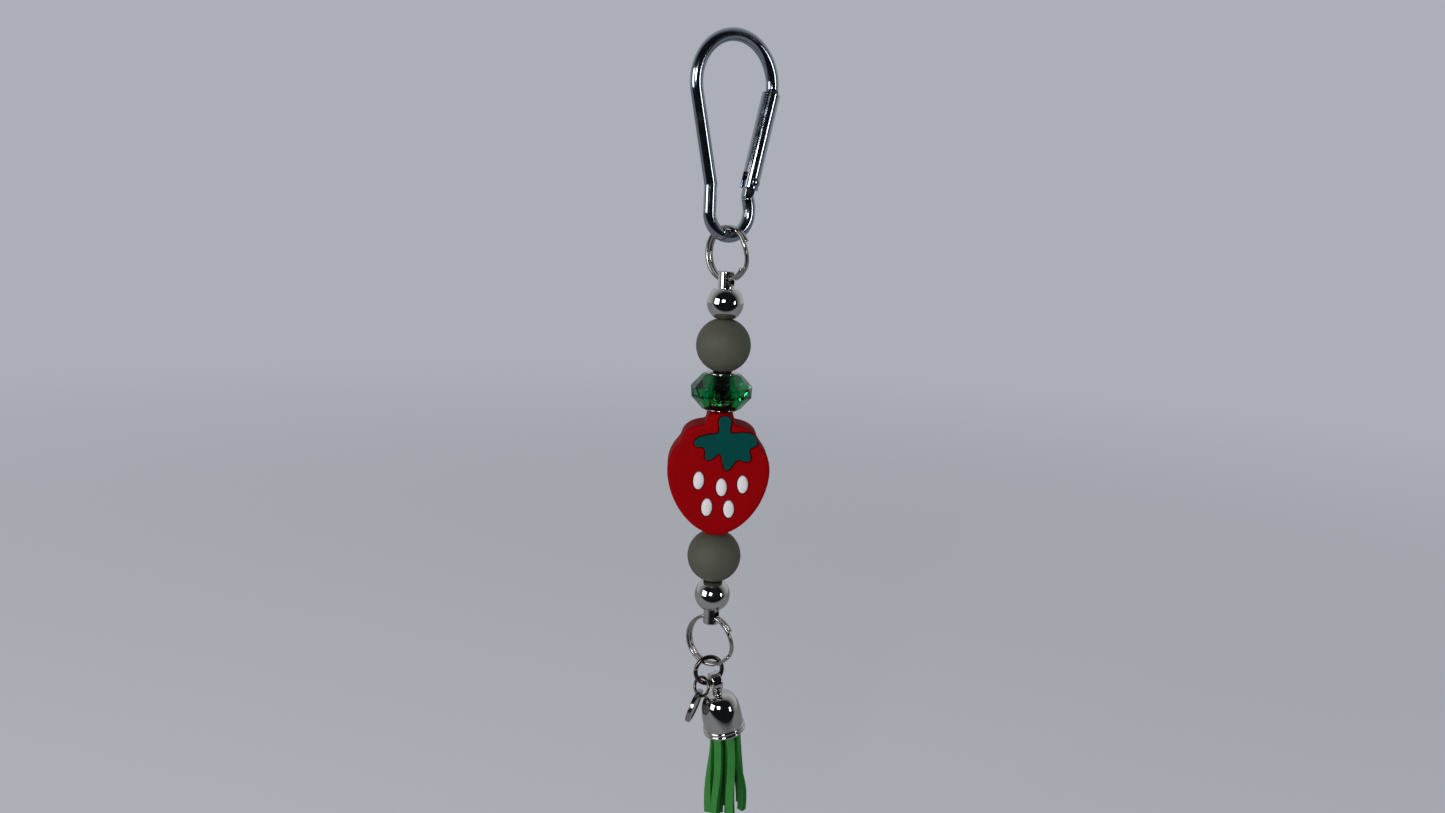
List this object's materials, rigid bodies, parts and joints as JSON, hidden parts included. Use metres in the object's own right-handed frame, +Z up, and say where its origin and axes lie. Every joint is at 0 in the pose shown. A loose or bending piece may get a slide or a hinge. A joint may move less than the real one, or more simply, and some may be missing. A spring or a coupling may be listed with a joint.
{
  "type": "beaded keychain",
  "caption": "Keychain with a spring-gate carabiner, split rings, a ball-ended bead bar with round, faceted and strawberry beads, and a jump ring with a bare tag charm and a suede tassel.",
  "frame": {"origin": "inside of the carabiner's crown, where it hangs", "axes": "+Z up, against the hang; +X to the right seen from the strawberry's front; +Y away from the viewer, through the strawberry's thickness"},
  "size_m": [0.0226, 0.0147, 0.1798],
  "materials": {
    "carabiner_metal": "polished",
    "spring_steel": "bright drawn",
    "ring_metal": "polished",
    "bar_metal": "polished",
    "grey_silicone": "matte",
    "green_glass": "cut and polished",
    "grommet_metal": "polished",
    "red_silicone": "matte",
    "green_silicone": "matte",
    "white_silicone": "matte",
    "dark_nickel": "polished",
    "charm_metal": "polished",
    "cap_metal": "polished",
    "green_suede": "napped"
  },
  "bodies": {
    "carabiner": {"carabiner_frame": "carabiner_metal"},
    "gate": {"carabiner_gate": "carabiner_metal", "gate_rivet": "carabiner_metal", "gate_spring": "spring_steel"},
    "plunger": {"gate_plunger": "spring_steel"},
    "upper_ring": {"upper_split_ring": "ring_metal"},
    "bead_bar": {"upper_end_ball": "bar_metal", "bar_rod": "bar_metal"},
    "upper_bead": {"upper_round_bead": "grey_silicone"},
    "crystal": {"crystal_glass": "green_glass", "crystal_upper_grommet": "grommet_metal", "crystal_lower_grommet": "grommet_metal"},
    "strawberry": {"strawberry_body": "red_silicone", "strawberry_front_leaf": "green_silicone", "strawberry_back_leaf": "green_silicone", "strawberry_front_seeds": "white_silicone", "strawberry_back_seeds": "white_silicone"},
    "lower_bead": {"lower_round_bead": "grey_silicone"},
    "lower_end": {"lower_end_ball": "bar_metal"},
    "lower_ring": {"lower_split_ring": "ring_metal"},
    "jump": {"jump_ring": "dark_nickel"},
    "tassel": {"tassel_cap": "cap_metal", "outer_suede_strips": "green_suede", "inner_suede_strips": "green_suede"},
    "charm_loop": {"charm_ring": "dark_nickel"},
    "charm": {"tag_charm": "charm_metal"}
  },
  "joints": [
    {"name": "gate_hinge", "type": "hinge", "parent": "carabiner", "child": "gate", "pos_m": [0.00434, 0.00304, -0.0287], "axis": [0.5736, -0.8192, 0], "range_deg": [0, 32], "stiffness_Nm_per_rad": 0.01, "springref_deg": -28.65},
    {"name": "plunger_slide", "type": "slide", "parent": "gate", "child": "plunger", "axis": [0.1919, 0.1344, 0.9722], "range_m": [0, 0.0006], "deforming": ["gate_spring"]},
    {"name": "upper_ring_swing", "type": "hinge", "parent": "carabiner", "child": "upper_ring", "pos_m": [0, 0, -0.0403], "axis": [0.8192, 0.5736, 0], "range_deg": [-120, 120]},
    {"name": "bar_swing", "type": "hinge", "parent": "upper_ring", "child": "bead_bar", "pos_m": [0, 0, -0.04956], "axis": [0.682, -0.7314, 0], "range_deg": [-90, 90]},
    {"name": "upper_bead_spin", "type": "hinge", "parent": "bead_bar", "child": "upper_bead", "pos_m": [0, 0, -0.0639], "axis": [0, 0, 1], "continuous": true},
    {"name": "crystal_spin", "type": "hinge", "parent": "bead_bar", "child": "crystal", "pos_m": [0, 0, -0.0639], "axis": [0, 0, 1], "continuous": true},
    {"name": "strawberry_spin", "type": "hinge", "parent": "bead_bar", "child": "strawberry", "pos_m": [0, 0, -0.0639], "axis": [0, 0, 1], "continuous": true},
    {"name": "lower_bead_spin", "type": "hinge", "parent": "bead_bar", "child": "lower_bead", "pos_m": [0, 0, -0.0639], "axis": [0, 0, 1], "continuous": true},
    {"name": "lower_end_unscrew", "type": "slide", "parent": "bead_bar", "child": "lower_end", "axis": [0, 0, -1], "range_m": [0, 0.0045]},
    {"name": "lower_ring_swing", "type": "hinge", "parent": "lower_end", "child": "lower_ring", "pos_m": [0, 0, -0.12614], "axis": [0.8387, -0.5446, 0], "range_deg": [-90, 90]},
    {"name": "jump_ring_swing", "type": "hinge", "parent": "lower_ring", "child": "jump", "pos_m": [0, 0, -0.13773], "axis": [0.8387, -0.5446, 0], "range_deg": [-75, 75]},
    {"name": "tassel_swing", "type": "hinge", "parent": "jump", "child": "tassel", "pos_m": [0.00166, 0.00054, -0.14214], "axis": [0.7976, 0.2592, 0.5446], "range_deg": [-40, 6]},
    {"name": "charm_ring_swing", "type": "hinge", "parent": "jump", "child": "charm_loop", "pos_m": [-0.00114, -0.00037, -0.14242], "axis": [0.8818, 0.2865, -0.3746], "range_deg": [-15, 45]},
    {"name": "charm_swing", "type": "hinge", "parent": "charm_loop", "child": "charm", "pos_m": [-0.00222, -0.00037, -0.14538], "axis": [0.6288, -0.7431, -0.2289], "range_deg": [-45, 14]}
  ],
  "couplings": [
    {"joint": "plunger_slide", "follows": "gate_hinge", "m_per_rad": 0.00086}
  ]
}
